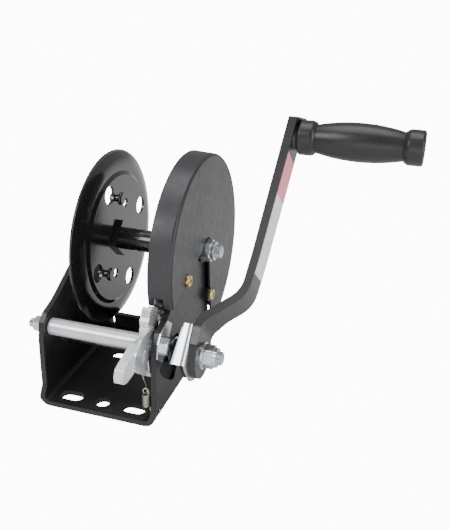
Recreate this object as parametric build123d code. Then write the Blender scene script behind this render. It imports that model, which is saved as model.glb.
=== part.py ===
"""Boat trailer winch with a geared drum, a cranked handle and a two-way pawl.

Millimetres. X runs across the frame from the plain side to the crank side, Y runs from the
front edge of the base to its rear, Z is up. The origin is the centre of the row of mounting
holes near the front edge, on the underside of the base.
"""
import os
from math import acos, atan2, cos, degrees, hypot, pi, radians, sin, sqrt, tan

from build123d import *

# ---------------------------------------------------------------- driving dimensions
# frame
frame_width = 110.0
plate = 5.0
bend_radius = 10.0
base_front = -14.0
base_rear = 126.0
rear_lip_height = 20.0
half_width = frame_width / 2
inside = half_width - plate

# mounting holes in the base
slot_spacing = 60.0
slot_length = 21.0
slot_radius = 6.25
centre_hole_radius = 6.5
rear_slot_length = 56.0
rear_slot_radius = 6.5
rear_slot_y = 75.5

# drum and its gear
drum_y = 108.0
drum_z = 114.0
tube_radius = 10.5
tube_bore_radius = 7.5
flange_radius = 83.0
flange_flat_radius = 60.0
flange_sheet = 2.5
left_flat_x = -28.0
left_rim_sweep = 8.4
right_flange_radius = 80.0
right_flange_x = 40.5
drum_bolt_radius = 6.0

# gear pair
tooth_module = 2.75
gear_teeth = 60
pinion_teeth = 12
pressure_angle = radians(25)
backlash = 0.5
gear_x = 40.5
gear_width = 8.5
pinion_x = 39.5
pinion_width = 9.8
centre_distance = tooth_module * (gear_teeth + pinion_teeth) / 2

# crank shaft
crank_y = 31.5
crank_z = drum_z - sqrt(centre_distance**2 - (drum_y - crank_y) ** 2)
shaft_radius = 9.0
journal_radius = 8.0
shaft_end_radius = 6.0

# crank arm and grip
arm_inner_x = 76.0
arm_thickness = 6.8
arm_half_width = 12.5
arm_hub_radius = 20.5
crank_length = 191.0
arm_top = 206.3
crank_lean = radians(17.0)
grip_start_x = 145.4
grip_length = 96.5
grip_pin_radius = 5.0

# tie bar and pawl
tie_y = 9.1
tie_z = 68.0
tie_tube_radius = 7.5
tie_bolt_radius = 4.0
pawl_x = 37.5
pawl_thickness = 8.0
pawl_hub_radius = 8.5
pawl_forward_angle = 15.0
pawl_back_angle = -10.0

# gear cover
cover_radius = 89.2
cover_face_radius = 88.2
cover_sheet = 2.0
cover_rim_x = 39.0
cover_face_x = 59.8

running_gap = 0.05
side_gap = 0.3


# ---------------------------------------------------------------- helpers
def rod(x0, x1, radius, y, z):
    """A round bar along X, from x0 to x1."""
    bar = Cylinder(radius, x1 - x0, align=(Align.CENTER, Align.CENTER, Align.MIN))
    return Pos(x0, y, z) * Rot(0, 90, 0) * bar


def ring(x0, x1, outer, inner, y, z):
    """A round sleeve or washer along X."""
    return rod(x0, x1, outer, y, z) - rod(x0 - 1, x1 + 1, inner, y, z)


def hexagon(x0, x1, across_flats, y, z, turn=0.0):
    """A hexagonal prism along X."""
    sketch = RegularPolygon(across_flats / 2 / cos(pi / 6), 6)
    return extrude(Pos(x0, y, z) * (Plane.YZ * Rot(0, 0, turn) * sketch), x1 - x0)


def slab(x0, x1, outline):
    """A plate across X, from a closed line in Y and Z."""
    return extrude(Plane.YZ.offset(x0) * make_face(outline), x1 - x0)


def turned(profile, y, z):
    """A ring turned about X from a closed line in X and radius."""
    return Pos(0, y, z) * revolve(Plane.XZ * make_face(profile), Axis.X, 360)


def spun(shape, angle, y, z):
    """A shape turned by an angle in degrees about the X-parallel line through y, z."""
    return Pos(0, y, z) * Rot(angle, 0, 0) * Pos(0, -y, -z) * shape


def polar(y, z, radius, angle):
    """The point at a radius and an angle in radians, measured from +Y towards +Z."""
    return (y + radius * cos(angle), z + radius * sin(angle))


def write(name, shape):
    """One STEP file per node."""
    export_step(shape, f"parts/{name}.step")


# ---------------------------------------------------------------- gears
def flank_angle(radius, base, half_pitch_angle, pitch):
    """Half of a tooth's angle at a radius, for an involute flank."""
    involute = tan(acos(base / pitch)) - acos(base / pitch)
    here = acos(min(1.0, base / radius))
    return half_pitch_angle + involute - (tan(here) - here)


def gear_outline(teeth, first_tooth, addendum, root_depth):
    """A closed toothed line in local coordinates, with a tooth centred on first_tooth."""
    pitch = tooth_module * teeth / 2
    base = pitch * cos(pressure_angle)
    tip = pitch + addendum
    root = pitch - root_depth
    foot = max(base + 0.05, root)
    half = (pi * tooth_module / 2 - backlash / 2) / 2 / pitch
    lines = []
    for index in range(teeth):
        middle = first_tooth + 2 * pi * index / teeth
        following = middle + 2 * pi / teeth

        def at(radius, side, centre=middle):
            return polar(0, 0, radius, centre + side * flank_angle(radius, base, half, pitch))

        waist = (foot + tip) / 2
        foot_angle = flank_angle(foot, base, half, pitch)
        rise_root = polar(0, 0, root, middle - foot_angle)
        fall_root = polar(0, 0, root, middle + foot_angle)
        next_root = polar(0, 0, root, following - foot_angle)
        if foot > root + 0.01:
            lines.append(Line(rise_root, at(foot, -1)))
            lines.append(Line(at(foot, 1), fall_root))
        lines.append(ThreePointArc(at(foot, -1), at(waist, -1), at(tip, -1)))
        lines.append(ThreePointArc(at(tip, -1), polar(0, 0, tip, middle), at(tip, 1)))
        lines.append(ThreePointArc(at(tip, 1), at(waist, 1), at(foot, 1)))
        gap_middle = polar(0, 0, root, (middle + following) / 2)
        lines.append(ThreePointArc(fall_root, gap_middle, next_root))
    return Wire(lines)


to_crank = atan2(crank_z - drum_z, crank_y - drum_y)
gear_gap = to_crank
pinion_tooth = to_crank + pi
gear_pitch_radius = tooth_module * gear_teeth / 2
pinion_pitch_radius = tooth_module * pinion_teeth / 2
gear_tip = gear_pitch_radius + 0.8 * tooth_module
pinion_tip = pinion_pitch_radius + 0.9 * tooth_module
root_depth = 1.25 * tooth_module


def make_drum_gear():
    """The large gear: a toothed disc with a recessed web and lightening holes."""
    outline = gear_outline(gear_teeth, gear_gap + pi / gear_teeth, 0.8 * tooth_module, root_depth)
    blank = extrude(Plane.YZ * Face(outline), gear_width)
    gear = Pos(gear_x, drum_y, drum_z) * blank
    gear -= rod(gear_x - 1, gear_x + gear_width + 1, tube_radius + 0.02, drum_y, drum_z)
    recess_floor = gear_x + gear_width - 3.0
    gear -= ring(recess_floor, gear_x + gear_width + 1, 70.0, 22.0, drum_y, drum_z)
    for index in range(5):
        y, z = polar(drum_y, drum_z, 50.0, radians(72 * index + 36))
        gear -= rod(gear_x - 1, gear_x + gear_width + 1, 12.0, y, z)
    for y, z in gear_rivet_places():
        gear -= rod(gear_x - 1, gear_x + gear_width + 1, rivet_radius, y, z)
    return gear


def make_pinion():
    """The small gear, bored for the shaft."""
    outline = gear_outline(pinion_teeth, pinion_tooth, 0.9 * tooth_module, root_depth)
    blank = extrude(Plane.YZ * Face(outline), pinion_width)
    gear = Pos(pinion_x, crank_y, crank_z) * blank
    return gear - rod(pinion_x - 1, pinion_x + pinion_width + 1, shaft_radius, crank_y, crank_z)


# ---------------------------------------------------------------- frame
wall_top_radius = 15.5
wall_rear_turn = radians(-60)
spring_hole_y = -5.1
spring_hole_z = 11.0
screw_lug_radius = 8.0


def wall_outline():
    """The side view of the frame: base, shaped front edge, sloping top and rounded bearing end."""
    slope_start = (21.9, 87.5)
    reach = hypot(drum_y - slope_start[0], drum_z - slope_start[1])
    heading = atan2(drum_z - slope_start[1], drum_y - slope_start[0])
    slope = heading + atan2(wall_top_radius, sqrt(reach**2 - wall_top_radius**2))
    tangent = polar(drum_y, drum_z, wall_top_radius, slope + pi / 2)
    crown = polar(drum_y, drum_z, wall_top_radius, (slope + pi / 2 + wall_rear_turn) / 2)
    rear = polar(drum_y, drum_z, wall_top_radius, wall_rear_turn)
    front = [
        (base_front, 0.0),
        (base_front, 7.0),
        (-7.5, 17.0),
        (-7.0, 32.0),
        (-5.0, 60.0),
        (-1.5, 76.0),
        (5.0, 82.5),
        slope_start,
        tangent,
    ]
    top = ThreePointArc(tangent, crown, rear)
    back = Polyline(rear, (base_rear - 1.5, 14.0), (base_rear, 0.0), (base_front, 0.0))
    return Wire([*Polyline(*front).edges(), top, *back.edges()])


def window_outline(margin=0.0):
    """The opening in the right wall round the crank shaft, less a margin."""
    corners = [
        (0.5, 50.0), (8.0, 51.5), (17.0, 56.0), (28.5, 64.6), (45.0, 62.0), (40.8, 36.0), (34.5, 25.0),
        (29.4, 21.8), (21.0, 26.7), (8.5, 37.3), (3.5, 44.0),
    ]
    window = make_face(Polyline(*corners, corners[0]))
    window = fillet(window.vertices(), 2.5)
    return offset(window, amount=-margin) if margin else window


def make_frame():
    """The U-shaped bracket: base, two side walls and an upturned rear lip, bent from one plate."""
    height = 150.0
    outer = Pos(0, 0, height / 2) * Box(frame_width, 400, height)
    outer = fillet(outer.edges().filter_by(Axis.Y).group_by(Axis.Z)[0], bend_radius)
    inner = Pos(0, 0, plate + height / 2) * Box(2 * inside, 400, height)
    inner = fillet(inner.edges().filter_by(Axis.Y).group_by(Axis.Z)[0], bend_radius - plate)
    side = slab(-half_width, half_width, wall_outline())
    front_edges = side.edges().filter_by(Axis.X).sort_by(Axis.Y)[:6]
    side = fillet([e for e in front_edges if e.center().Z > 8], 4.0)
    frame = (outer - inner) & side

    lip_width = 2 * (inside - 3.0)
    lip = Pos(0, base_rear - plate / 2, (plate + rear_lip_height) / 2)
    lip = lip * Box(lip_width, plate, rear_lip_height - plate)
    frame += fillet(lip.edges().filter_by(Axis.Y).group_by(Axis.Z)[-1], 4.0)

    through = plate + 2
    for x in (-slot_spacing / 2, slot_spacing / 2):
        slot = Pos(x, 0, -1) * SlotOverall(slot_length, 2 * slot_radius)
        frame -= extrude(slot, through)
    frame -= Pos(0, 0, -1) * extrude(Circle(centre_hole_radius), through)
    rear_slot = SlotOverall(rear_slot_length, 2 * rear_slot_radius)
    frame -= Pos(0, rear_slot_y, -1) * extrude(rear_slot, through)

    for x0 in (-half_width - 1, inside - 1):
        x1 = x0 + plate + 2
        frame -= rod(x0, x1, drum_bolt_radius + 0.2, drum_y, drum_z)
        frame -= rod(x0, x1, tie_bolt_radius + 0.2, tie_y, tie_z)
    frame -= rod(-half_width - 1, -inside + 1, bush_outer_radius, crank_y, crank_z)
    frame -= extrude(Plane.YZ.offset(inside - 1) * window_outline(), plate + 2)
    frame -= rod(inside - 1, half_width + 1, 1.5, spring_hole_y, spring_hole_z)
    for y, z in cover_screw_places:
        frame += rod(inside, half_width, screw_lug_radius, y, z)
        frame -= rod(inside - 1, half_width + 1, cover_screw_radius + 0.2, y, z)
    return frame


# ---------------------------------------------------------------- bearings of the crank shaft
bush_outer_radius = journal_radius + 1.6
bush_flange_radius = journal_radius + 2.6
carrier_x0 = inside + 0.2
carrier_x1 = inside + 2.6
right_collar_x = inside + 5.0


def make_bearing_carrier():
    """The plate set in the window of the right wall that carries the right bush."""
    carrier = extrude(Plane.YZ.offset(carrier_x0) * window_outline(0.1), carrier_x1 - carrier_x0)
    return carrier - rod(inside - 4, inside + 4, bush_outer_radius, crank_y, crank_z)


def make_bush_left():
    """A flanged bush in the left wall."""
    body = rod(-half_width, -inside, bush_outer_radius, crank_y, crank_z)
    collar = rod(-inside, -inside + 1.5, bush_flange_radius, crank_y, crank_z)
    hole = rod(-half_width - 1, -inside + 3, journal_radius + running_gap, crank_y, crank_z)
    return body + collar - hole


def make_bush_right():
    """A bush in the bearing carrier, with its collar outside."""
    body = rod(carrier_x0, carrier_x1, bush_outer_radius, crank_y, crank_z)
    collar = rod(carrier_x1, right_collar_x, bush_flange_radius, crank_y, crank_z)
    hole = rod(inside - 4, half_width + 2, journal_radius + running_gap, crank_y, crank_z)
    return body + collar - hole
cover_screw_radius = 3.0
cover_screw_places = [(57.0, 107.0), (116.0, 64.0)]
cover_front_rim = radians(190)
cover_front_face = radians(192)
cover_low_z = 35.0
notch_slope = radians(17.5)
nut_opening = 11.8
rim_slot_x0 = 43.0
rim_slot_x1 = 52.5
rim_slot_from = radians(185)


def cover_notch():
    """The side view of what the cover leaves open: the wall in front of and below the drum bolt."""
    apex = (drum_y, drum_z + 8.4)
    low = (drum_y - 150.0, apex[1] - 150.0 * tan(notch_slope))
    return Polyline(apex, low, (low[0], -60.0), (120.5, -60.0), (120.5, 30.0), (118.0, 49.9),
                    (115.3, 73.4), (114.3, 98.4), (112.0, 118.0), apex)


def cover_end_cut():
    """A block that trims the rim's front end, aslant from the rim to the face."""
    inner = Vector(cover_rim_x, *polar(drum_y, drum_z, cover_radius, cover_front_rim))
    outer = Vector(cover_face_x, *polar(drum_y, drum_z, cover_face_radius, cover_front_face))
    along = (outer - inner).normalized()
    radial = Vector(0, *polar(0, 0, 1.0, (cover_front_rim + cover_front_face) / 2))
    plane = Plane(origin=inner, x_dir=along, z_dir=radial.cross(along))
    return extrude(plane * Rectangle(120.0, 50.0), 60.0 if plane.z_dir.Z < 0 else -60.0)


def rim_slot():
    """The slot in the middle of the rim at its front end."""
    corners = [polar(drum_y, drum_z, radius, angle) for radius, angle in (
        (75.0, rim_slot_from), (100.0, rim_slot_from), (100.0, rim_slot_from + 0.5),
        (75.0, rim_slot_from + 0.5))]
    return slab(rim_slot_x0, rim_slot_x1, Polyline(*corners, corners[0]))


def make_cover():
    """A deep round dish over the gear, open in front of and below the drum bolt."""
    rim, face, t, soft = cover_radius, cover_face_radius, cover_sheet, 3.0
    c45 = cos(pi / 4)
    edge_x = cover_face_x - soft
    corner = face - soft
    outer_mid = (edge_x + soft * c45, corner + soft * c45)
    inner_mid = (edge_x + (soft - t) * c45, corner + (soft - t) * c45)
    profile = Wire([
        Line((cover_rim_x, rim - t), (cover_rim_x, rim)),
        Line((cover_rim_x, rim), (edge_x, face)),
        ThreePointArc((edge_x, face), outer_mid, (cover_face_x, corner)),
        Line((cover_face_x, corner), (cover_face_x, nut_opening)),
        Line((cover_face_x, nut_opening), (cover_face_x - t, nut_opening)),
        Line((cover_face_x - t, nut_opening), (cover_face_x - t, corner)),
        ThreePointArc((cover_face_x - t, corner), inner_mid, (edge_x, face - t)),
        Line((edge_x, face - t), (cover_rim_x, rim - t)),
    ])
    dish = turned(profile, drum_y, drum_z)
    dish -= slab(cover_rim_x - 5, cover_face_x + 5, cover_notch())
    dish -= Pos(cover_face_x, drum_y, cover_low_z - 50) * Box(100.0, 300.0, 100.0)
    dish -= cover_end_cut()
    dish -= rim_slot()
    for y, z in cover_screw_places:
        dish += tab_at(y, z)
    for y, z in cover_screw_places:
        dish -= rod(inside, cover_face_x + 1, cover_screw_radius + 0.2, y, z)
    return dish


def tab_at(y, z):
    """A round screw tab that reaches from the cover's face over the edge of the notch."""
    return rod(cover_face_x - cover_sheet, cover_face_x, 7.0, y, z)


def make_cover_screws():
    """Two pan-head screws through the cover, the spacers and the wall."""
    screws = []
    for y, z in cover_screw_places:
        head = rod(cover_face_x, cover_face_x + 3.2, 5.6, y, z)
        head = fillet(head.edges().sort_by(Axis.X)[-1], 2.0)
        shank = rod(inside - 3.0, cover_face_x, cover_screw_radius, y, z)
        recess = Pos(cover_face_x + 2.4, y, z) * Box(2.4, 5.6, 1.5)
        recess += Pos(cover_face_x + 2.4, y, z) * Box(2.4, 1.5, 5.6)
        screws.append(head + shank - recess)
    return Compound(children=screws)


def make_cover_spacers():
    """Two rubber spacers between the wall and the cover."""
    gap_end = cover_face_x - cover_sheet
    return Compound(children=[
        ring(half_width, gap_end, 6.5, cover_screw_radius + 0.1, y, z) for y, z in cover_screw_places
    ])


def make_cover_nuts():
    """Two square nuts behind the wall."""
    nuts = []
    for y, z in cover_screw_places:
        block = Pos(inside - 1.3, y, z) * Box(2.6, 10.0, 10.0)
        nuts.append(block - rod(inside - 5, inside + 1, cover_screw_radius, y, z))
    return Compound(children=nuts)


# ---------------------------------------------------------------- drum
rivet_radius = 4.0
gear_rivet_count = 4
flange_hole_turn = radians(18)
collar_side = 27.0
collar_length = 4.4
drum_end_x = gear_x + gear_width + 0.2
lug_reach = 41.5


def gear_rivet_places():
    """The rivets that hold the right flange to the gear."""
    return [polar(drum_y, drum_z, 30.0, radians(90 * k + 45)) for k in range(gear_rivet_count)]


def make_drum_tube():
    """The core that the rope or strap winds on."""
    x0 = left_flat_x - flange_sheet - 1.2
    x1 = drum_end_x
    return ring(x0, x1, tube_radius, tube_bore_radius, drum_y, drum_z)


def make_left_flange():
    """A pressed disc: raised flat centre, a step, and a rim that sweeps back to a rolled edge."""
    flat, t, r0, r1 = left_flat_x, flange_sheet, flange_flat_radius, flange_radius
    back = flat - left_rim_sweep
    bore = tube_radius + 0.02
    profile = Wire([
        Line((flat, bore), (flat, r0)),
        Line((flat, r0), (flat - 2.2, r0 + 3.5)),
        ThreePointArc((flat - 2.2, r0 + 3.5), (flat - 3.1, 73.0), (back + 2.0, r1 - 1.6)),
        ThreePointArc((back + 2.0, r1 - 1.6), (back + 0.8, r1), (back - 0.4, r1 - 1.2)),
        ThreePointArc((back - 0.4, r1 - 1.2), (flat - 5.7, 73.0), (flat - t - 2.2, r0 + 4.5)),
        Line((flat - t - 2.2, r0 + 4.5), (flat - t, r0 + 1.0)),
        Line((flat - t, r0 + 1.0), (flat - t, bore)),
        Line((flat - t, bore), (flat, bore)),
    ])
    disc = turned(profile, drum_y, drum_z)
    for index in range(4):
        y, z = polar(drum_y, drum_z, 50.5, flange_hole_turn + index * pi / 2)
        disc -= rod(flat - 10, flat + 5, 8.6, y, z)
    for angle in (62, 247):
        y, z = polar(drum_y, drum_z, 34.0, radians(angle))
        disc -= rod(flat - 10, flat + 5, 4.6, y, z)
    for y, z in rope_lug_places():
        disc -= rod(flat - 10, flat + 5, 2.6, y, z)
    return disc


def rope_lug_places():
    """The two headed studs that a rope's end is looped over."""
    return [polar(drum_y, drum_z, lug_reach, radians(angle)) for angle in (95, 211)]


def make_rope_lugs():
    """Two headed studs riveted into the left flange."""
    lugs = []
    for y, z in rope_lug_places():
        neck = rod(left_flat_x, left_flat_x + 4.0, 3.2, y, z)
        shank = rod(left_flat_x - flange_sheet - 1.0, left_flat_x, 2.6, y, z)
        head = rod(left_flat_x + 4.0, left_flat_x + 7.5, 6.0, y, z)
        head = fillet(head.edges().filter_by(GeomType.CIRCLE), 1.4)
        tail = rod(left_flat_x - flange_sheet - 2.0, left_flat_x - flange_sheet, 4.2, y, z)
        lugs.append(neck + shank + head + tail)
    return Compound(children=lugs)


def make_flange_collar():
    """A square collar that keys the left flange to the tube."""
    place = Pos(left_flat_x + collar_length / 2, drum_y, drum_z) * Rot(45, 0, 0)
    block = place * Box(collar_length, collar_side, collar_side)
    block = fillet(block.edges().filter_by(Axis.X), 2.0)
    return block - rod(left_flat_x - 2, left_flat_x + 9, tube_radius, drum_y, drum_z)


def make_right_flange():
    """The right flange, a flat disc with a turned edge, riveted to the gear."""
    x1, t, r = right_flange_x, flange_sheet, right_flange_radius
    disc = rod(x1 - t, x1, r, drum_y, drum_z)
    disc = fillet(disc.edges().filter_by(GeomType.CIRCLE).sort_by(Axis.X)[0], 1.8)
    disc -= rod(x1 - t - 1, x1 + 1, tube_radius + 0.02, drum_y, drum_z)
    for y, z in gear_rivet_places():
        disc -= rod(x1 - t - 1, x1 + 1, rivet_radius, y, z)
    return disc


def make_gear_rivets():
    """Four rivets, with heads on the flange and in the recess of the gear."""
    rivets = []
    left = right_flange_x - flange_sheet
    right = gear_x + gear_width - 3.0
    for y, z in gear_rivet_places():
        head = rod(left - 2.4, left, 6.5, y, z)
        head = fillet(head.edges().filter_by(GeomType.CIRCLE).sort_by(Axis.X)[0], 2.0)
        tail = rod(right, right + 2.0, 6.0, y, z)
        rivets.append(head + rod(left, right, rivet_radius, y, z) + tail)
    return Compound(children=rivets)


def make_drum_bushes():
    """Two plain bushes inside the ends of the tube."""
    left = left_flat_x - flange_sheet - 1.2
    right = drum_end_x
    inner = drum_bolt_radius + running_gap
    return Compound(children=[
        ring(left, left + 22, tube_bore_radius, inner, drum_y, drum_z),
        ring(right - 22, right, tube_bore_radius, inner, drum_y, drum_z),
    ])


# ---------------------------------------------------------------- drum bolt
nut_flats = 19.0
washer_thickness = 2.0
nut_height = 9.0
drum_nut_height = 8.0
insert_height = 3.0


def make_drum_bolt():
    """An M12 bolt that is the axle of the drum, with its head on the left."""
    head_x = -half_width - washer_thickness
    head = hexagon(head_x - 7.5, head_x, nut_flats, drum_y, drum_z, 15)
    end = half_width + washer_thickness + drum_nut_height + insert_height + 6.0
    shank = rod(head_x, end, drum_bolt_radius, drum_y, drum_z)
    shank = chamfer(shank.edges().filter_by(GeomType.CIRCLE).sort_by(Axis.X)[-1], 1.0)
    return head + shank


def nut_with_collar(x0, y, z, hole, turn, height):
    """A hexagonal lock nut with a round collar at its outer end."""
    nut = hexagon(x0, x0 + height, nut_flats, y, z, turn)
    dome = rod(x0 - 1, x0 + height + 1, nut_flats / 2 + 1.0, y, z)
    dome = chamfer(dome.edges().filter_by(GeomType.CIRCLE), 1.8)
    nut = nut & dome
    collar = ring(x0 + height, x0 + height + insert_height, 8.6, 7.6, y, z)
    return nut + collar - rod(x0 - 1, x0 + height + 0.01, hole, y, z)


def nut_insert(x0, y, z, hole, height):
    """The nylon ring inside the collar of a lock nut."""
    return ring(x0 + height, x0 + height + insert_height - 0.4, 7.6, hole, y, z)


drum_nut_x = half_width + washer_thickness


def make_drum_washers():
    """A washer under the head and one under the nut of the drum bolt."""
    hole = drum_bolt_radius + 0.2
    return Compound(children=[
        ring(-half_width - washer_thickness, -half_width, 12.0, hole, drum_y, drum_z),
        ring(half_width, half_width + washer_thickness, 12.0, hole, drum_y, drum_z),
    ])


def make_drum_spacers():
    """Two sleeves that centre the drum between the walls."""
    hole = drum_bolt_radius + 0.1
    left_end = left_flat_x - flange_sheet - 1.2 - side_gap
    right_start = drum_end_x + side_gap
    return Compound(children=[
        ring(-inside, left_end, 9.5, hole, drum_y, drum_z),
        ring(right_start, inside, 9.5, hole, drum_y, drum_z),
    ])


# ---------------------------------------------------------------- tie bar
tie_tube_end = pawl_x - 0.4


def make_tie_tube():
    """The bright spacer tube that holds the walls apart and ends beside the pawl."""
    tube = rod(-inside, tie_tube_end, tie_tube_radius, tie_y, tie_z)
    tube = chamfer(tube.edges().filter_by(GeomType.CIRCLE), 1.0)
    return tube - rod(-inside - 1, tie_tube_end + 1, tie_bolt_radius + 0.1, tie_y, tie_z)


doubler_thickness = 1.0
doubler_angle = 48.0
tie_head_x = half_width + doubler_thickness
tie_head_height = 4.5


def make_tie_bolt():
    """The M8 bolt through the tie tube, with its head on the crank side."""
    head = hexagon(tie_head_x, tie_head_x + tie_head_height, 13.0, tie_y, tie_z, 10)
    cap = rod(tie_head_x - 1, tie_head_x + tie_head_height, 7.7, tie_y, tie_z)
    cap = chamfer(cap.edges().filter_by(GeomType.CIRCLE).sort_by(Axis.X)[-1], 1.2)
    shank = rod(-half_width - 15.0, tie_head_x, tie_bolt_radius, tie_y, tie_z)
    shank = chamfer(shank.edges().filter_by(GeomType.CIRCLE).sort_by(Axis.X)[0], 0.8)
    return (head & cap) + shank


def make_tie_nut():
    """A domed flange nut on the left end of the tie bolt."""
    x1 = -half_width - 1.6
    nut = hexagon(x1 - 8.0, x1, 13.0, tie_y, tie_z, 20)
    cap = rod(x1 - 8.0, x1, 7.7, tie_y, tie_z)
    cap = chamfer(cap.edges().filter_by(GeomType.CIRCLE).sort_by(Axis.X)[0], 1.4)
    return (nut & cap) - rod(x1 - 9, x1 + 1, tie_bolt_radius, tie_y, tie_z)


def make_tie_washer():
    """The washer under the nut of the tie bolt."""
    return ring(-half_width - 1.6, -half_width, 8.5, tie_bolt_radius + 0.2, tie_y, tie_z)


def make_doubler():
    """A bright plate under the head of the tie bolt, trimmed flush with the wall's front edge."""
    blank = Rectangle(34.0, 23.0)
    blank = fillet(blank.vertices().group_by(Axis.X)[0], 4.0)
    blank = Pos(half_width, 9.2, 74.0) * (Plane.YZ * Rot(0, 0, doubler_angle) * blank)
    blank = extrude(blank, doubler_thickness) & slab(half_width - 1, half_width + 4, wall_outline())
    return blank - rod(half_width - 1, half_width + 5, tie_bolt_radius + 0.2, tie_y, tie_z)
tooth_bite = 2.1
tooth_clearance = 0.7


def tooth(y, z, radius, angle, length, tip_width, root_width):
    """A wedge that points at a gear's centre from outside, its tip at a radius."""
    across = (-sin(angle), cos(angle))
    tip = polar(y, z, radius, angle)
    root = polar(y, z, radius + length, angle)
    corners = []
    for point, width, side in (
        (tip, tip_width, 1), (root, root_width, 1), (root, root_width, -1), (tip, tip_width, -1),
    ):
        corners.append((point[0] + side * width / 2 * across[0], point[1] + side * width / 2 * across[1]))
    return Polyline(*corners, corners[0])


pinion_gap_angle = pinion_tooth + pi / pinion_teeth + 2 * pi * 5 / pinion_teeth
gear_gap_angle = gear_gap - 2 * pi * 4 / gear_teeth


def pawl_plate(outline):
    """A pawl piece of full thickness."""
    return slab(pawl_x, pawl_x + pawl_thickness, outline)


def pawl_clearance(angle):
    """The room both gears take up, seen from the pawl at rest when it is turned by an angle."""
    x0, x1 = pawl_x - 1, pawl_x + pawl_thickness + 1
    room = rod(x0, x1, pinion_tip + tooth_clearance, crank_y, crank_z)
    room += rod(x0, x1, gear_tip + tooth_clearance, drum_y, drum_z)
    return spun(room, -angle, tie_y, tie_z)


def make_pawl():
    """The two-way pawl: a lower arm for the pinion and an upper arm for the drum gear."""
    x1 = pawl_x + pawl_thickness
    body = rod(pawl_x, x1, pawl_hub_radius, tie_y, tie_z)
    body += pawl_plate(Polyline((1.2, 70.0), (0.8, 60.0), (1.5, 46.0), (5.0, 39.0), (11.0, 38.0),
                                (14.5, 44.0), (14.0, 60.0), (12.0, 68.0), (1.2, 70.0)))
    body += pawl_plate(Polyline((2.2, 70.0), (2.8, 83.4), (4.5, 86.2), (3.9, 92.2), (6.4, 94.5),
                                (9.4, 100.0), (12.2, 101.2), (14.8, 98.8), (18.6, 95.2), (25.0, 93.6), (24.0, 86.0),
                                (17.0, 80.0), (16.0, 70.0), (2.2, 70.0)))
    for angle in (pawl_back_angle, 0.0, pawl_forward_angle):
        body -= pawl_clearance(angle)

    # each tooth is drawn in its gear and then turned back to rest
    lower = pawl_plate(tooth(crank_y, crank_z, pinion_tip - tooth_bite, pinion_gap_angle, 6.5, 2.2, 6.5))
    upper = pawl_plate(tooth(drum_y, drum_z, gear_tip - tooth_bite, gear_gap_angle, 6.5, 1.8, 6.0))
    body += spun(lower, -pawl_forward_angle, tie_y, tie_z)
    body += spun(upper, -pawl_back_angle, tie_y, tie_z)
    return body - rod(pawl_x - 1, x1 + 1, pawl_bush_radius, tie_y, tie_z)


pawl_bush_radius = 5.5


def make_thumb_lever():
    """The slim lever in front of the pawl that a thumb presses."""
    outline = Polyline((1.6, 77.0), (-14.0, 82.0), (-34.0, 78.0), (-44.0, 75.5), (-47.0, 70.0),
                       (-46.5, 64.0), (-40.0, 62.0), (-28.0, 62.5), (-22.0, 68.0), (-12.0, 72.0),
                       (1.6, 66.0), (1.6, 77.0))
    lever = pawl_plate(outline)
    lever = fillet([e for e in lever.edges().filter_by(Axis.X) if e.center().Y < -10], 2.2)
    return lever - make_pawl()


tail_y = -10.5
tail_z = 53.6
tail_thickness = 2.0


def make_spring_plate():
    """The thin crescent plate on the pawl's side that the spring hooks into."""
    x0 = pawl_x + pawl_thickness
    outline = Wire([
        Spline((9.7, 86.0), (-2.2, 86.3), (-13.8, 85.8), (-21.7, 82.3), (-26.8, 78.1), (-28.5, 71.8),
               (-27.5, 65.4), (-20.9, 58.1), (-13.8, 52.4)),
        ThreePointArc((-13.8, 52.4), (-8.2, 50.1), (-4.9, 52.4)),
        Line((-4.9, 52.4), (-5.3, 58.5)),
        Line((-5.3, 58.5), (-0.7, 63.4)),
        Line((-0.7, 63.4), (4.1, 64.0)),
        Line((4.1, 64.0), (14.0, 74.0)),
        Line((14.0, 74.0), (9.7, 86.0)),
    ])
    crescent = slab(x0, x0 + tail_thickness, outline)
    crescent += rod(x0, x0 + tail_thickness, pawl_hub_radius, tie_y, tie_z)
    crescent -= rod(x0 - 1, x0 + 4, pawl_bush_radius, tie_y, tie_z)
    hole = extrude(Pos(x0 - 1, -12.0, 69.0) * (Plane.YZ * Rot(0, 0, 60) * SlotOverall(12.0, 6.0)), 4)
    return crescent - hole - rod(x0 - 1, x0 + 4, 1.4, tail_y, tail_z)


def make_pawl_bush():
    """The bush in the hub of the pawl, running on the tie bolt."""
    x1 = pawl_x + pawl_thickness + tail_thickness
    return ring(pawl_x, x1, pawl_bush_radius, tie_bolt_radius + running_gap, tie_y, tie_z)


def make_pawl_spacer():
    """The short sleeve between the pawl and the right wall."""
    x0 = pawl_x + pawl_thickness + tail_thickness + side_gap
    return ring(x0, inside, 6.0, tie_bolt_radius + 0.1, tie_y, tie_z)


# ---------------------------------------------------------------- pawl spring
spring_radius = 4.0
spring_wire = 0.7
spring_x = 44.0
spring_y = -3.5
spring_low_z = 13.0
spring_high_z = 28.0


def make_spring():
    """An extension spring: a coil's outer shape, an upper hook and a lower end through the wall."""
    coil = Pos(spring_x, spring_y, (spring_low_z + spring_high_z) / 2)
    coil = coil * Cylinder(spring_radius, spring_high_z - spring_low_z)
    hook_x = pawl_x + pawl_thickness + tail_thickness + 1.2
    upper = FilletPolyline(
        (spring_x, spring_y, spring_high_z - 1), (spring_x, spring_y - 1.0, 36.0),
        (spring_x, tail_y, tail_z), (hook_x, tail_y, tail_z), radius=1.4,
    )
    lower = FilletPolyline(
        (spring_x, spring_y, spring_low_z + 1), (spring_x, spring_y, spring_hole_z),
        (half_width + 2.0, -6.1, spring_hole_z), (half_width + 2.0, -6.1, 15.5), radius=1.4,
    )
    wires = []
    for path in (upper, lower):
        start = path @ 0
        section = Plane(origin=start, z_dir=path % 0) * Circle(spring_wire)
        wires.append(sweep(section, path=path))
    return coil + wires[0] + wires[1]


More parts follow.
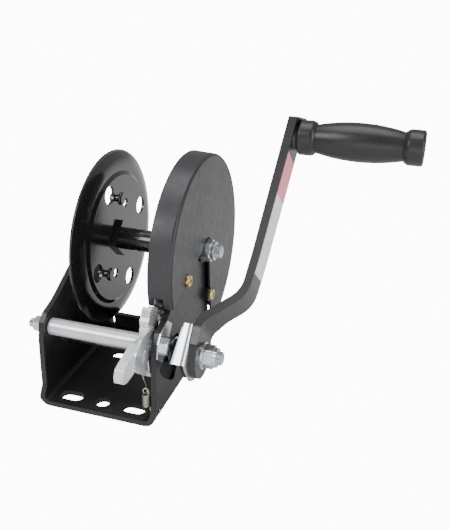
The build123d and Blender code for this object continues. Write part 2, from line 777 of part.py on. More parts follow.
# ---------------------------------------------------------------- crank shaft
guard_x = arm_inner_x - 2.0
shoulder_x = guard_x
crank_washer_thickness = 1.2
nut_x = arm_inner_x + arm_thickness + crank_washer_thickness
right_washer_x = right_collar_x + side_gap
sleeve_x = right_washer_x + 1.7


def make_crank_shaft():
    """The stepped shaft: two journals, a seat for the pinion and a threaded end."""
    y, z = crank_y, crank_z
    shaft = rod(-half_width - 6.0, shoulder_x, journal_radius, y, z)
    shaft += rod(-inside + 1.5 + side_gap, pinion_x + pinion_width, shaft_radius, y, z)
    end = nut_x + nut_height + insert_height + 4.5
    shaft += rod(shoulder_x, end, shaft_end_radius, y, z)
    shaft = chamfer(shaft.edges().filter_by(GeomType.CIRCLE).sort_by(Axis.X)[-1], 1.0)
    groove = ring(-half_width - 3.2, -half_width - 1.8, journal_radius + 1, 7.2, y, z)
    return shaft - groove


def make_shaft_ring():
    """A retaining ring in the groove at the left end of the crank shaft."""
    ring_body = ring(-half_width - 3.1, -half_width - 1.9, 11.0, 7.2, crank_y, crank_z)
    slit = Pos(-half_width - 2.5, crank_y, crank_z - 10) * Box(4, 4, 12)
    return ring_body - slit


def make_shaft_washers():
    """Thrust washers at both bearings of the crank shaft."""
    hole = journal_radius + 0.02
    return Compound(children=[
        ring(-half_width - 1.8, -half_width - side_gap, 12.0, hole, crank_y, crank_z),
        ring(right_washer_x, sleeve_x, 12.0, hole, crank_y, crank_z),
    ])


def make_shaft_sleeve():
    """The sleeve on the shaft between the right bearing and the guard."""
    return ring(sleeve_x, guard_x, sleeve_radius, journal_radius, crank_y, crank_z)


sleeve_radius = 10.5
friction_radius = 21.5
friction_x = 69.5
guard_sheet = 2.0
guard_reach = 24.5
guard_low = -15.0
guard_high = 21.0
guard_left_low = 62.0
guard_left_high = 65.0
guard_lip = 5.5


def make_friction_disc():
    """The black disc on the sleeve behind the guard."""
    disc = ring(friction_x, guard_x, friction_radius, sleeve_radius, crank_y, crank_z)
    return chamfer(disc.edges().filter_by(GeomType.CIRCLE).group_by(SortBy.RADIUS)[-1], 0.8)


def guard_block(left_low, left_high, right, low, high, reach, radius):
    """A block in the guard's own frame with its two long outer edges rounded."""
    turn = radians(doubler_angle)
    away = (0, -sin(turn), cos(turn))
    place = Plane(origin=(0, crank_y, crank_z), x_dir=(1, 0, 0), z_dir=away)
    outline = Polyline((left_low, low), (right, low), (right, high), (left_high, high), (left_low, low))
    block = extrude(place * make_face(outline), reach)
    top = block.edges().group_by(Axis((0, crank_y, crank_z), away))[-1]
    return fillet([e for e in top if e.length > 30], radius)


def make_guard():
    """A bent channel behind the arm: web, rounded bends, a short left lip and a flange on the shaft."""
    sheet = guard_sheet
    channel = guard_block(guard_left_low, guard_left_high, arm_inner_x, guard_low, guard_high,
                          guard_reach, 4.0)
    channel -= guard_block(guard_left_low + sheet, guard_left_high + sheet, arm_inner_x - sheet,
                           guard_low - 1, guard_high + 1, guard_reach - sheet, 2.0)
    turn = radians(doubler_angle)
    lip_cut = Pos(0, crank_y, crank_z) * Rot(degrees(turn), 0, 0)
    lip_cut = lip_cut * Pos(guard_left_low, 0, guard_reach - guard_lip - 50) * Box(24.0, 120.0, 100.0)
    channel -= lip_cut
    away = guard_reach - 4.0
    low_corner = (crank_y + guard_low * cos(turn) - away * sin(turn),
                  crank_z + guard_low * sin(turn) + away * cos(turn))
    flange = slab(guard_x, arm_inner_x, Polyline(
        low_corner, (8.5, 47.1), (17.2, 32.0), (26.0, 27.5), (38.0, 30.0), (48.0, 42.0),
        (50.0, 58.0), (45.5, 66.8), (32.0, 78.0), low_corner))
    guard = channel + flange
    return guard - rod(guard_x - 1, arm_inner_x + 1, shaft_end_radius, crank_y, crank_z)


# ---------------------------------------------------------------- crank arm
bend_skew = 0.6
arm_line = [(0.0, -40.0), (0.0, 27.5), (37.5, 57.0), (43.3, 87.0), (62.3, 203.0), (65.4, 222.0)]
grip_seat_x = grip_start_x - 1.4


def arm_place():
    """The arm's own frame: origin at the shaft, its length up Z, its front edge towards -Y."""
    return Pos(0, crank_y, crank_z) * Rot(-degrees(crank_lean), 0, 0)


def arm_offset(height):
    """How far the arm's inner face stands outboard of the hub at a height along the arm."""
    for (x0, s0), (x1, s1) in zip(arm_line, arm_line[1:]):
        if s0 <= height <= s1:
            return x0 + (x1 - x0) * (height - s0) / (s1 - s0)
    return arm_line[-1][0]


def make_arm_blank(thickness):
    """The bent flat bar, much wider than the arm, with its bend lines skewed across it."""
    points = [(arm_inner_x + x, s) for x, s in arm_line]
    inner_line = FilletPolyline(*points, radius=[18.0, 26.0, 60.0, 60.0])
    section = make_face(offset(inner_line, amount=thickness, side=Side.RIGHT, closed=True))
    reach = 40.0
    skewed = Vector(0, -1, bend_skew) * reach
    return extrude(Pos(0, reach, -bend_skew * reach) * (Plane.XZ * section), dir=skewed.normalized(),
                   amount=2 * skewed.length)


def arm_shape(margin=0.0):
    """The side view of the arm: a round hub, straight edges and a square top end."""
    half = arm_half_width - margin
    bar = Pos(0, arm_top / 2) * Rectangle(2 * half, arm_top)
    bar = fillet(bar.vertices().sort_by(Axis.Y)[-2:], 1.5)
    hub = Circle(arm_hub_radius)
    taper = make_face(Polyline((-arm_hub_radius, 3), (-19.0, 14), (-half, 29), (half, 29), (19.0, 14),
                               (arm_hub_radius, 3), (-arm_hub_radius, 3)))
    taper = taper + Pos(0, 32) * Rectangle(2 * half, 10)
    necks = [v for v in taper.vertices() if abs(v.Y - 29) < 0.01]
    return bar + hub + fillet(necks, 8.0)


def make_crank_arm():
    """The cranked handle arm, with a round seat for the grip."""
    outline = extrude(Plane.YZ.offset(arm_inner_x - 30) * arm_shape(), 140)
    arm = arm_place() * (make_arm_blank(arm_thickness) & outline)
    seat_x = arm_inner_x + arm_offset(crank_length) + arm_thickness / 2
    arm += grip_bar(seat_x, grip_seat_x, 10.5)
    arm -= grip_bar(grip_seat_x, grip_seat_x + 10, 13.0)
    arm -= rod(arm_inner_x - 20, arm_inner_x + 20, shaft_end_radius, crank_y, crank_z)
    return arm - grip_bar(arm_inner_x + 30, grip_start_x + 20, grip_pin_radius)
grip_y = crank_y + crank_length * sin(crank_lean)
grip_z = crank_z + crank_length * cos(crank_lean)
grip_end_x = grip_start_x + grip_length


def grip_bar(x0, x1, radius):
    """A round bar on the grip's axis."""
    return rod(x0, x1, radius, grip_y, grip_z)


def make_grip():
    """A moulded grip: a swelling barrel between two collars, bored for its pin."""
    x0, x1 = grip_start_x, grip_end_x
    collar, neck, belly = 13.8, 11.2, 15.2
    bore = grip_pin_radius + 0.08
    cup = 9.5
    profile = Wire([
        Line((x0, bore), (x0, collar - 2)),
        ThreePointArc((x0, collar - 2), (x0 + 0.6, collar - 0.6), (x0 + 2, collar)),
        Line((x0 + 2, collar), (x0 + 10, collar)),
        ThreePointArc((x0 + 10, collar), (x0 + 12.4, collar - 0.9), (x0 + 14, neck)),
        ThreePointArc((x0 + 14, neck), (x0 + grip_length / 2 - 1, belly), (x1 - 15, neck)),
        ThreePointArc((x1 - 15, neck), (x1 - 13, collar - 0.9), (x1 - 11, collar)),
        Line((x1 - 11, collar), (x1 - 2, collar)),
        ThreePointArc((x1 - 2, collar), (x1 - 0.6, collar - 0.6), (x1, collar - 2)),
        Line((x1, collar - 2), (x1, cup)),
        Line((x1, cup), (x1 - 14, cup)),
        Line((x1 - 14, cup), (x1 - 14, bore)),
        Line((x1 - 14, bore), (x0, bore)),
    ])
    return turned(profile, grip_y, grip_z)


def make_grip_pin():
    """The pin fixed in the arm that the grip turns on, flush with the arm's inner face."""
    inner_face = arm_inner_x + arm_offset(crank_length)
    return grip_bar(inner_face + 1.2, grip_end_x - 11.0, grip_pin_radius)


def make_grip_washer():
    """The washer between the arm and the grip."""
    return ring(grip_seat_x, grip_start_x - side_gap, 9.5, grip_pin_radius, grip_y, grip_z)


def make_grip_push_nut():
    """The push-on cap in the hollow end of the grip that keeps it on the pin."""
    x0 = grip_end_x - 14.0 + side_gap
    cap = grip_bar(x0, x0 + 4.5, 8.4)
    cap = fillet(cap.edges().filter_by(GeomType.CIRCLE).sort_by(Axis.X)[-1], 2.0)
    return cap - grip_bar(x0 - 1, grip_end_x - 11.0, grip_pin_radius)


# ---------------------------------------------------------------- reflective tape on the arm
tape_thickness = 0.4
tape_slant = 5.5
tape_low = 74.0
tape_split = 140.5
tape_top = 173.5


def make_tape(low, high):
    """A strip of tape on the outer face of the arm between two heights, both ends aslant."""
    layer = make_arm_blank(arm_thickness + tape_thickness) - make_arm_blank(arm_thickness)
    half = arm_half_width - 1.0
    outline = make_face(Polyline((-half, low + tape_slant), (half, low - tape_slant),
                                 (half, high - tape_slant), (-half, high + tape_slant),
                                 (-half, low + tape_slant)))
    strip = layer & extrude(Plane.YZ.offset(arm_inner_x - 30) * outline, 140)
    return arm_place() * strip


# ---------------------------------------------------------------- export
def main():
    """Build every node and write it."""
    os.makedirs("parts", exist_ok=True)
    write("frame_bracket", make_frame())
    write("gear_cover", make_cover())
    write("cover_screws", make_cover_screws())
    write("cover_spacers", make_cover_spacers())
    write("cover_nuts", make_cover_nuts())
    write("drum_bolt", make_drum_bolt())
    write("drum_lock_nut", nut_with_collar(drum_nut_x, drum_y, drum_z, drum_bolt_radius, 8, drum_nut_height))
    write("drum_nut_insert", nut_insert(drum_nut_x, drum_y, drum_z, drum_bolt_radius, drum_nut_height))
    write("drum_washers", make_drum_washers())
    write("drum_spacers", make_drum_spacers())
    write("tie_tube", make_tie_tube())
    write("tie_bolt", make_tie_bolt())
    write("tie_nut", make_tie_nut())
    write("tie_washer", make_tie_washer())
    write("tie_doubler_plate", make_doubler())
    write("bearing_carrier", make_bearing_carrier())
    write("shaft_bush_left", make_bush_left())
    write("shaft_bush_right", make_bush_right())
    write("pawl_spacer", make_pawl_spacer())
    write("drum_tube", make_drum_tube())
    write("drum_flange_left", make_left_flange())
    write("drum_flange_right", make_right_flange())
    write("flange_collar", make_flange_collar())
    write("rope_lugs", make_rope_lugs())
    write("drum_gear", make_drum_gear())
    write("gear_rivets", make_gear_rivets())
    write("drum_bushes", make_drum_bushes())
    write("crank_shaft", make_crank_shaft())
    write("pinion_gear", make_pinion())
    write("shaft_retaining_ring", make_shaft_ring())
    write("shaft_washers", make_shaft_washers())
    write("shaft_sleeve", make_shaft_sleeve())
    write("friction_disc", make_friction_disc())
    write("hub_guard", make_guard())
    write("crank_arm", make_crank_arm())
    write("crank_washer", ring(nut_x - crank_washer_thickness, nut_x, 12.0, shaft_end_radius, crank_y, crank_z))
    write("crank_nut", nut_with_collar(nut_x, crank_y, crank_z, shaft_end_radius, 4, nut_height))
    write("crank_nut_insert", nut_insert(nut_x, crank_y, crank_z, shaft_end_radius, nut_height))
    write("grip_pin", make_grip_pin())
    write("grip_washer", make_grip_washer())
    write("grip_push_nut", make_grip_push_nut())
    write("tape_red", make_tape(tape_split, tape_top))
    write("tape_white", make_tape(tape_low, tape_split))
    write("handle_grip", make_grip())
    write("pawl", make_pawl())
    write("pawl_thumb_lever", make_thumb_lever())
    write("pawl_spring_plate", make_spring_plate())
    write("pawl_bush", make_pawl_bush())
    write("pawl_spring", make_spring())


main()
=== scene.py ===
"""Looks of the boat trailer winch: its finishes, its wound spring, studio light and camera.

Everything is in metres, in the frame of the CAD model: X across the winch towards the crank,
Y from the front edge of the base to its rear, and Z up.
"""

import math

import bpy
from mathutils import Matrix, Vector


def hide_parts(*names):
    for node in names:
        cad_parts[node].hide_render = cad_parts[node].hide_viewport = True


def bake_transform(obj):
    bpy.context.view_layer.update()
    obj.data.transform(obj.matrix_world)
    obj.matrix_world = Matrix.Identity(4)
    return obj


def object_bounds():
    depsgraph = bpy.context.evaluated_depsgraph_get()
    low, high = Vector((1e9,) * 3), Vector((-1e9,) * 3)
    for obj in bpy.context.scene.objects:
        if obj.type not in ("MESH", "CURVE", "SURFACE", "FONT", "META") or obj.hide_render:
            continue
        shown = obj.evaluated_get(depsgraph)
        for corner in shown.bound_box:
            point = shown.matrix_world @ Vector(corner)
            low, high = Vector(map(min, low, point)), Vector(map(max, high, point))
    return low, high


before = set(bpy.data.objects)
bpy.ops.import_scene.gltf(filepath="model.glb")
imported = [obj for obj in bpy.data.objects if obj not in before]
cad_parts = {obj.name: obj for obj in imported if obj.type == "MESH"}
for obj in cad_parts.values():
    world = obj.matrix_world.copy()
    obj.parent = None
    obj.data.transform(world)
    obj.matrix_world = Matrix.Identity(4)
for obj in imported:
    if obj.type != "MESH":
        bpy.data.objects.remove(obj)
CAD_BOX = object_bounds()

CRANK_LEAN = math.radians(17.0)


# ------------------------------------------------------------------ shader nodes
class Surface:
    """The shader nodes of one material, placed by object coordinates."""

    def __init__(self, name):
        self.material = bpy.data.materials.new(name)
        self.material.use_nodes = True
        self.tree = self.material.node_tree
        self.tree.nodes.clear()
        self.output = self.tree.nodes.new("ShaderNodeOutputMaterial")
        self.shader = self.tree.nodes.new("ShaderNodeBsdfPrincipled")
        self.link(self.shader.outputs[0], self.output.inputs[0])
        self.coords = self.tree.nodes.new("ShaderNodeTexCoord").outputs["Object"]

    def link(self, source, socket):
        self.tree.links.new(source, socket)

    def feed(self, socket, source):
        """Drive a socket of the surface shader by a node's output."""
        self.link(source, self.shader.inputs[socket])

    def fix(self, socket, value):
        """Give a socket of the surface shader one value everywhere."""
        self.shader.inputs[socket].default_value = value

    def add(self, kind, **values):
        """A new node, with its inputs or its properties set by name."""
        node = self.tree.nodes.new(kind)
        for key, value in values.items():
            if key in node.inputs:
                node.inputs[key].default_value = value
            else:
                setattr(node, key, value)
        return node

    def noise(self, scale, detail=4.0, rough=0.55, stretch=None):
        """A cloudy value from 0 to 1, finer for a larger scale."""
        node = self.add("ShaderNodeTexNoise", Scale=scale, Detail=detail, Roughness=rough)
        source = self.coords
        if stretch:
            mapping = self.add("ShaderNodeMapping", Scale=stretch)
            self.link(self.coords, mapping.inputs["Vector"])
            source = mapping.outputs[0]
        self.link(source, node.inputs["Vector"])
        return node.outputs["Fac"]

    def ramp(self, source, stops):
        """A ramp of colours or grey values, each at its place from 0 to 1."""
        node = self.add("ShaderNodeValToRGB")
        ramp = node.color_ramp
        while len(ramp.elements) < len(stops):
            ramp.elements.new(0.5)
        for element, (place, colour) in zip(ramp.elements, stops):
            element.position = place
            if isinstance(colour, (int, float)):
                colour = (colour, colour, colour)
            element.color = (*colour, 1.0)
        self.link(source, node.inputs[0])
        return node.outputs[0]

    def math(self, operation, *operands):
        """One arithmetic step on numbers and node outputs."""
        node = self.add("ShaderNodeMath", operation=operation)
        for socket, operand in zip(node.inputs, operands):
            if isinstance(operand, (int, float)):
                socket.default_value = operand
            else:
                self.link(operand, socket)
        return node.outputs[0]

    def bump(self, height, strength, distance, normal=None):
        """A surface normal raised by a height, on top of another normal if given."""
        node = self.add("ShaderNodeBump", Strength=strength, Distance=distance)
        self.link(height, node.inputs["Height"])
        if normal:
            self.link(normal, node.inputs["Normal"])
        return node.outputs[0]

    def tool_marks(self, rough, streak):
        """Fine marks that vary the gloss, drawn out by the streak factors along X, Y and Z."""
        marks = self.noise(500.0, 3.0, 0.6, streak)
        self.feed("Roughness", self.ramp(marks, [(0.2, rough * 0.8), (0.8, rough * 1.3)]))
        return marks


def lighter(colour, factor, lift):
    """A lighter tone of a colour."""
    return tuple(min(1.0, channel * factor + lift) for channel in colour)


# ------------------------------------------------------------------ kinds of finish
def paint(name, colour, rough, coat=0.0, peel=0.12, specular=0.5):
    """Paint or powder coat with orange peel, cloudy tone and a film of dust."""
    surface = Surface(name)
    tones = [(0.3, colour), (0.75, lighter(colour, 1.35, 0.006))]
    surface.feed("Base Color", surface.ramp(surface.noise(22.0, 3.0), tones))
    dusty = min(1.0, rough * 1.25)
    dust = surface.noise(140.0, 5.0, 0.65)
    surface.feed("Roughness", surface.ramp(dust, [(0.25, rough * 0.85), (0.8, dusty)]))
    wave = surface.bump(surface.noise(260.0, 2.0), peel, 0.0006)
    surface.feed("Normal", surface.bump(surface.noise(900.0, 2.0), peel * 0.6, 0.00012, wave))
    surface.fix("Coat Weight", coat)
    surface.fix("Coat Roughness", 0.12)
    surface.fix("Specular IOR Level", specular)
    return surface.material


def metal(name, colour, rough, streak=(1, 1, 1), spangle=0.2, depth=0.1, metallic=1.0):
    """Plated or bare metal with soft cloudy tarnish and fine tool marks."""
    surface = Surface(name)
    dark = tuple(channel * (1 - spangle) for channel in colour)
    cloud = surface.noise(60.0, 4.0, 0.6)
    surface.feed("Base Color", surface.ramp(cloud, [(0.25, dark), (0.7, colour)]))
    marks = surface.tool_marks(rough, streak)
    surface.feed("Normal", surface.bump(marks, depth, 0.00015))
    surface.fix("Metallic", metallic)
    return surface.material


def moulded(name, colour, rough):
    """Moulded plastic or rubber with a fine grain."""
    surface = Surface(name)
    tones = [(0.3, colour), (0.75, lighter(colour, 1.3, 0.004))]
    surface.feed("Base Color", surface.ramp(surface.noise(45.0, 3.0), tones))
    gloss = [(0.3, rough * 0.9), (0.75, min(1.0, rough * 1.15))]
    surface.feed("Roughness", surface.ramp(surface.noise(150.0, 4.0), gloss))
    surface.feed("Normal", surface.bump(surface.noise(600.0, 3.0), 0.1, 0.0002))
    return surface.material


def threaded(name, axis, pitch, start, side, radius):
    """Zinc plate with a screw thread round an axis along X, past start on the side given by a sign, with
    painted shade in bands along each turn.
    """
    surface = Surface(name)
    split = surface.add("ShaderNodeSeparateXYZ")
    surface.link(surface.coords, split.inputs[0])
    x, y, z = split.outputs
    across = surface.math("SUBTRACT", y, axis[0])
    up = surface.math("SUBTRACT", z, axis[1])
    turns = surface.math("DIVIDE", surface.math("ARCTAN2", up, across), 2 * math.pi)
    phase = surface.math("ADD", surface.math("DIVIDE", x, pitch), turns)
    past = surface.math("GREATER_THAN" if side > 0 else "LESS_THAN", x, start)
    height = surface.math("MULTIPLY", surface.math("PINGPONG", phase, 0.5), past)
    # painted shade: the zinc darkens with the thread's bump height, in bands along each turn
    tones = [(0.0, (0.80, 0.83, 0.88)), (0.9, (0.5, 0.52, 0.56))]
    surface.feed("Base Color", surface.ramp(surface.math("MULTIPLY", height, 2.0), tones))
    surface.tool_marks(0.2, (1, 1, 1))
    surface.feed("Normal", surface.bump(height, 1.0, radius * THREAD_DEPTH))
    surface.fix("Metallic", 1.0)
    return surface.material


def honeycomb(name, colour, line, cell=0.0032):
    """Reflective tape: hexagonal cells, made by three sets of waves, under a clear gloss film."""
    surface = Surface(name)
    along = Vector((0, math.sin(CRANK_LEAN), math.cos(CRANK_LEAN)))
    across = Vector((0, -math.cos(CRANK_LEAN), math.sin(CRANK_LEAN)))
    waves = []
    for degrees in (30, 150, 270):
        angle = math.radians(degrees)
        direction = along * math.cos(angle) + across * math.sin(angle)
        distance = surface.add("ShaderNodeVectorMath", operation="DOT_PRODUCT")
        surface.link(surface.coords, distance.inputs[0])
        distance.inputs[1].default_value = direction * (2 * math.pi / cell)
        waves.append(surface.math("COSINE", distance.outputs["Value"]))
    # the sum of the waves runs from -1.5 at the edges of the cells to 3 in their middle
    total = surface.math("ADD", surface.math("ADD", waves[0], waves[1]), waves[2])
    level = surface.math("MULTIPLY", surface.math("ADD", total, 1.5), 1 / 4.5)
    tones = [(0.05, line), (0.16, colour), (1.0, colour)]
    surface.feed("Base Color", surface.ramp(level, tones))
    grime = surface.noise(120.0, 4.0, 0.6)
    surface.feed("Roughness", surface.ramp(grime, [(0.3, 0.16), (0.8, 0.3)]))
    surface.feed("Normal", surface.bump(level, 0.3, 0.0001))
    surface.fix("Coat Weight", 0.6)
    surface.fix("Coat Roughness", 0.06)
    return surface.material


# ------------------------------------------------------------------ the winch's finishes
M12_PITCH, M12_RADIUS = 0.00175, 0.006
M8_PITCH, M8_RADIUS = 0.00125, 0.004
THREAD_DEPTH = 0.16

# Y and Z of the axis of each bolt, and the X past which its thread shows
DRUM_AXIS, DRUM_THREAD_X = (0.108, 0.114), 0.0685
TIE_AXIS, TIE_THREAD_X = (0.0091, 0.068), -0.0646
CRANK_AXIS, CRANK_THREAD_X = (0.0315, 0.05116), 0.0962

frame_paint = paint("frame_satin_black", (0.010, 0.010, 0.0115), 0.36, coat=0.08, peel=0.08, specular=0.45)
flange_paint = paint("flange_gloss_black", (0.006, 0.006, 0.007), 0.16, coat=0.6, peel=0.07)
cover_paint = paint("cover_satin_grey", (0.022, 0.022, 0.026), 0.36, peel=0.08)
arm_paint = paint("arm_satin_black", (0.012, 0.012, 0.0135), 0.3, coat=0.2, peel=0.10)
# black instead of zinc: painted shade, so the sleeve reads as the dark gap between the wall and the guard
sleeve_shade_paint = paint("sleeve_black_painted_shade", (0.010, 0.010, 0.011), 0.32, peel=0.08)
# a real bearing carrier, but its near-black colour is painted shade standing in for the dark of the wall's
# window
carrier_shade_paint = paint("carrier_black_painted_shade", (0.003, 0.003, 0.004), 0.5, peel=0.08, specular=0.2)
zinc = metal("zinc_plate", (0.84, 0.87, 0.92), 0.17, metallic=0.88)
zinc_dull = metal("zinc_dull", (0.92, 0.94, 0.94), 0.34, spangle=0.25, depth=0.12, metallic=0.4)
zinc_satin = metal("zinc_satin", (0.84, 0.87, 0.90), 0.28, spangle=0.25, depth=0.05, metallic=0.72)
zinc_pale = metal("zinc_pale", (0.88, 0.91, 0.95), 0.30, streak=(12, 1, 1), metallic=0.55)
yellow_zinc = metal("yellow_zinc", (0.86, 0.66, 0.30), 0.25)
steel = metal("bare_steel", (0.52, 0.52, 0.53), 0.32, streak=(10, 1, 1))
gear_steel = metal("gear_steel", (0.22, 0.22, 0.23), 0.38)
spring_steel = metal("spring_wire", (0.62, 0.58, 0.50), 0.35)
# dark steel, also used as painted shade on the drum washers and the grip pin
dark_steel_and_shade = metal("dark_steel_and_shade", (0.05, 0.05, 0.055), 0.4)
bronze = metal("bush_bronze", (0.30, 0.21, 0.12), 0.45)
nylon = moulded("nylon_insert", (0.55, 0.56, 0.52), 0.45)
rubber = moulded("rubber_spacer", (0.012, 0.012, 0.012), 0.6)
grip_plastic = moulded("grip_moulded", (0.010, 0.010, 0.011), 0.34)
red_tape = honeycomb("tape_red", (0.95, 0.20, 0.32), (0.86, 0.11, 0.20))
white_tape = honeycomb("tape_white", (0.97, 0.97, 0.98), (0.62, 0.63, 0.66))
drum_thread = threaded("drum_bolt_zinc", DRUM_AXIS, M12_PITCH, DRUM_THREAD_X, 1, M12_RADIUS)
tie_thread = threaded("tie_bolt_zinc", TIE_AXIS, M8_PITCH, TIE_THREAD_X, -1, M8_RADIUS)
crank_thread = threaded("crank_shaft_zinc", CRANK_AXIS, M12_PITCH, CRANK_THREAD_X, 1, M12_RADIUS)

nodes_of_finish = [
    (frame_paint, ["frame_bracket"]),
    (flange_paint, ["drum_tube", "drum_flange_left", "drum_flange_right", "flange_collar", "rope_lugs"]),
    (cover_paint, ["gear_cover"]),
    (arm_paint, ["crank_arm"]),
    (sleeve_shade_paint, ["shaft_sleeve"]),
    (carrier_shade_paint, ["bearing_carrier"]),
    (zinc, ["cover_nuts", "drum_lock_nut", "tie_nut", "tie_washer", "tie_doubler_plate", "pawl_spacer",
            "shaft_washers", "hub_guard", "crank_washer", "crank_nut", "grip_push_nut"]),
    (zinc_dull, ["pawl_thumb_lever"]),
    (zinc_satin, ["pawl", "pawl_spring_plate"]),
    (zinc_pale, ["tie_tube"]),
    (yellow_zinc, ["cover_screws"]),
    (steel, ["drum_spacers", "gear_rivets"]),
    (gear_steel, ["drum_gear", "pinion_gear"]),
    (spring_steel, ["shaft_retaining_ring", "pawl_spring"]),
    # painted shade: the drum washers stand in for the shadow ring round the drum nut, and the grip pin for
    # the shadow gap at the grip
    (dark_steel_and_shade, ["drum_washers", "shaft_bush_right", "grip_pin"]),
    (bronze, ["shaft_bush_left", "drum_bushes", "pawl_bush"]),
    (nylon, ["drum_nut_insert", "crank_nut_insert"]),
    # the grip washer is black as painted shade for the shadow gap between the arm and the grip
    (rubber, ["cover_spacers", "friction_disc", "grip_washer"]),
    (grip_plastic, ["handle_grip"]),
    (red_tape, ["tape_red"]),
    (white_tape, ["tape_white"]),
    (drum_thread, ["drum_bolt"]),
    (tie_thread, ["tie_bolt"]),
    (crank_thread, ["crank_shaft"]),
]
for finish, names in nodes_of_finish:
    for name in names:
        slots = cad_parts[name].data.materials
        slots.clear()
        slots.append(finish)


# ------------------------------------------------------------------ the wound pawl spring
SPRING_AXIS = (0.044, -0.0035)
SPRING_LOW, SPRING_HIGH = 0.0137, 0.0258
COIL_RADIUS, WIRE_RADIUS, COIL_TURNS = 0.0033, 0.00065, 7
COIL_STEPS = 24
LOOP_RADIUS, LOOP_HEIGHT, LOOP_SHIFT = 0.0027, 0.0291, 0.0003


def wire_piece(name, lines, radius, material):
    """Round wires along smooth open lines, as one mesh."""
    curve = bpy.data.curves.new(name, "CURVE")
    curve.dimensions = "3D"
    curve.bevel_depth = radius
    curve.bevel_resolution = 4
    curve.use_fill_caps = True
    for line in lines:
        spline = curve.splines.new("POLY")
        spline.points.add(len(line) - 1)
        for point, place in zip(spline.points, line):
            point.co = (*place, 1.0)
    curve.materials.append(material)
    route = bpy.data.objects.new(name + "_route", curve)
    bpy.context.collection.objects.link(route)
    depsgraph = bpy.context.evaluated_depsgraph_get()
    mesh = bpy.data.meshes.new_from_object(route.evaluated_get(depsgraph))
    bpy.data.objects.remove(route)
    piece = bpy.data.objects.new(name, mesh)
    bpy.context.collection.objects.link(piece)
    return piece


def smooth(points, steps=8):
    """Points of a Catmull-Rom line through the given ones."""
    line = [Vector(point) for point in points]
    line = [line[0] * 2 - line[1], *line, line[-1] * 2 - line[-2]]
    out = []
    for a, b, c, d in zip(line, line[1:], line[2:], line[3:]):
        for k in range(steps):
            t = k / steps
            out.append(0.5 * (2 * b + (c - a) * t + (2 * a - 5 * b + 4 * c - d) * t * t
                              + (3 * b - a - 3 * c + d) * t ** 3))
    out.append(line[-2])
    return out


def coil_point(turns):
    """A point on the coil after a number of turns from its lower end."""
    angle = 2 * math.pi * turns
    height = SPRING_LOW + (SPRING_HIGH - SPRING_LOW) * turns / COIL_TURNS
    return Vector((SPRING_AXIS[0] + COIL_RADIUS * math.cos(angle),
                   SPRING_AXIS[1] + COIL_RADIUS * math.sin(angle), height))


def loop_point(degrees):
    """A point on the upright end loop above the coil, from its low point round."""
    angle = math.radians(degrees - 90)
    return Vector((SPRING_AXIS[0] + LOOP_RADIUS * math.cos(angle), SPRING_AXIS[1] - LOOP_SHIFT,
                   LOOP_HEIGHT + LOOP_RADIUS * math.sin(angle)))


lower_hook = smooth([(0.0570, -0.0061, 0.0152), (0.0570, -0.0061, 0.0125), (0.0562, -0.0060, 0.0112),
                     (0.0520, -0.0055, 0.0110), (0.0480, -0.0048, 0.0112), coil_point(0)])
coil = [coil_point(step / COIL_STEPS) for step in range(1, COIL_STEPS * COIL_TURNS + 1)]
end_loop = [loop_point(degrees) for degrees in range(45, 345, 15)]
link = smooth([(0.0455, -0.0049, 0.0302), (0.0450, -0.0028, 0.0302), (0.0441, -0.0020, 0.0320),
               (0.0440, -0.0035, 0.0365), (0.0440, -0.0068, 0.0430), (0.0440, -0.0096, 0.0505),
               (0.0445, -0.0104, 0.0533), (0.0462, -0.0105, 0.0537), (0.0482, -0.0105, 0.0535),
               (0.0486, -0.0100, 0.0522)])
spring = wire_piece("pawl_spring_wire", [[*lower_hook, *coil, *end_loop], link], WIRE_RADIUS, spring_steel)
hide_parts("pawl_spring")
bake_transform(spring)

# ------------------------------------------------------------------ floor and sky
BACKDROP_GLOW = 12.0
AMBIENT = 0.42
FLOOR_HALF = 6.0
FLOOR_GAP = 0.0002


def white_to_camera(tree, lit, glow_kind):
    """Show an even white where the camera looks at a surface, and light the object by lit."""
    glow = tree.nodes.new(glow_kind)
    glow.inputs["Color"].default_value = (1, 1, 1, 1)
    glow.inputs["Strength"].default_value = BACKDROP_GLOW
    mix = tree.nodes.new("ShaderNodeMixShader")
    tree.links.new(tree.nodes.new("ShaderNodeLightPath").outputs["Is Camera Ray"], mix.inputs[0])
    tree.links.new(lit, mix.inputs[1])
    tree.links.new(glow.outputs[0], mix.inputs[2])
    return mix.outputs[0]


def paper(name):
    """White studio paper."""
    surface = Surface(name)
    surface.feed("Base Color", surface.ramp(surface.noise(3.0), [(0.0, 0.86), (1.0, 0.9)]))
    surface.fix("Roughness", 0.9)
    surface.fix("Specular IOR Level", 0.1)
    white = white_to_camera(surface.tree, surface.shader.outputs[0], "ShaderNodeEmission")
    surface.link(white, surface.output.inputs[0])
    return surface.material


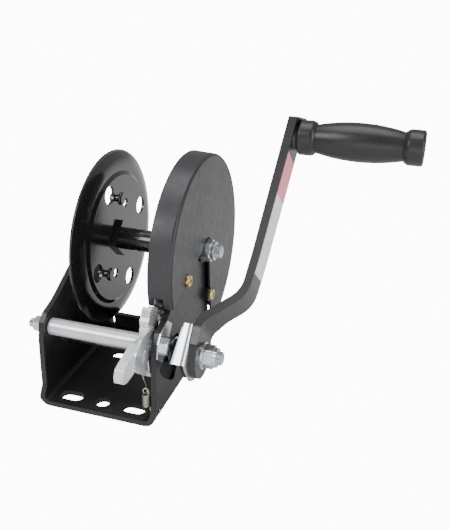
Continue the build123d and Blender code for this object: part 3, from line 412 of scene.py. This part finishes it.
corners = [(-FLOOR_HALF, -FLOOR_HALF, 0), (FLOOR_HALF, -FLOOR_HALF, 0),
           (FLOOR_HALF, FLOOR_HALF, 0), (-FLOOR_HALF, FLOOR_HALF, 0)]
floor_mesh = bpy.data.meshes.new("floor")
floor_mesh.from_pydata(corners, [], [(0, 1, 2, 3)])
floor_mesh.materials.append(paper("floor_paper"))
floor = bpy.data.objects.new("floor", floor_mesh)
bpy.context.collection.objects.link(floor)
floor.location.z = CAD_BOX[0][2] - FLOOR_GAP

world = bpy.data.worlds.new("studio")
bpy.context.scene.world = world
world.use_nodes = True
sky = world.node_tree
ambient = sky.nodes["Background"]
ambient.inputs["Color"].default_value = (1, 1, 1, 1)
ambient.inputs["Strength"].default_value = AMBIENT
backdrop = white_to_camera(sky, ambient.outputs[0], "ShaderNodeBackground")
sky.links.new(backdrop, sky.nodes["World Output"].inputs[0])

# ------------------------------------------------------------------ lights and camera
LIGHT_AIM = Vector((0.05, 0.06, 0.11))


def area_light(name, place, size, power):
    """A white rectangular light that faces the winch."""
    light = bpy.data.lights.new(name, "AREA")
    light.shape = "RECTANGLE"
    light.size, light.size_y = size
    light.energy = power
    lamp = bpy.data.objects.new(name, light)
    bpy.context.collection.objects.link(lamp)
    lamp.location = place
    lamp.rotation_euler = (LIGHT_AIM - Vector(place)).to_track_quat("-Z", "Y").to_euler()


area_light("key", (-0.9, -1.2, 1.5), (0.9, 0.9), 20.0)
area_light("right", (1.6, -0.4, 0.7), (0.8, 1.4), 14.0)
area_light("top", (0.0, 0.3, 1.9), (1.3, 1.3), 18.0)
area_light("front", (0.3, -1.8, 0.35), (1.6, 0.8), 7.0)

camera = bpy.data.objects.new("camera", bpy.data.cameras.new("camera"))
bpy.context.collection.objects.link(camera)
camera.location = (0.26498, -0.46611, 0.39501)
camera.rotation_euler = tuple(math.radians(angle) for angle in (64.069, -0.234, 18.238))
camera.data.sensor_width = 36.0
camera.data.lens = 49.610038
camera.data.clip_start = 0.01
bpy.context.scene.camera = camera
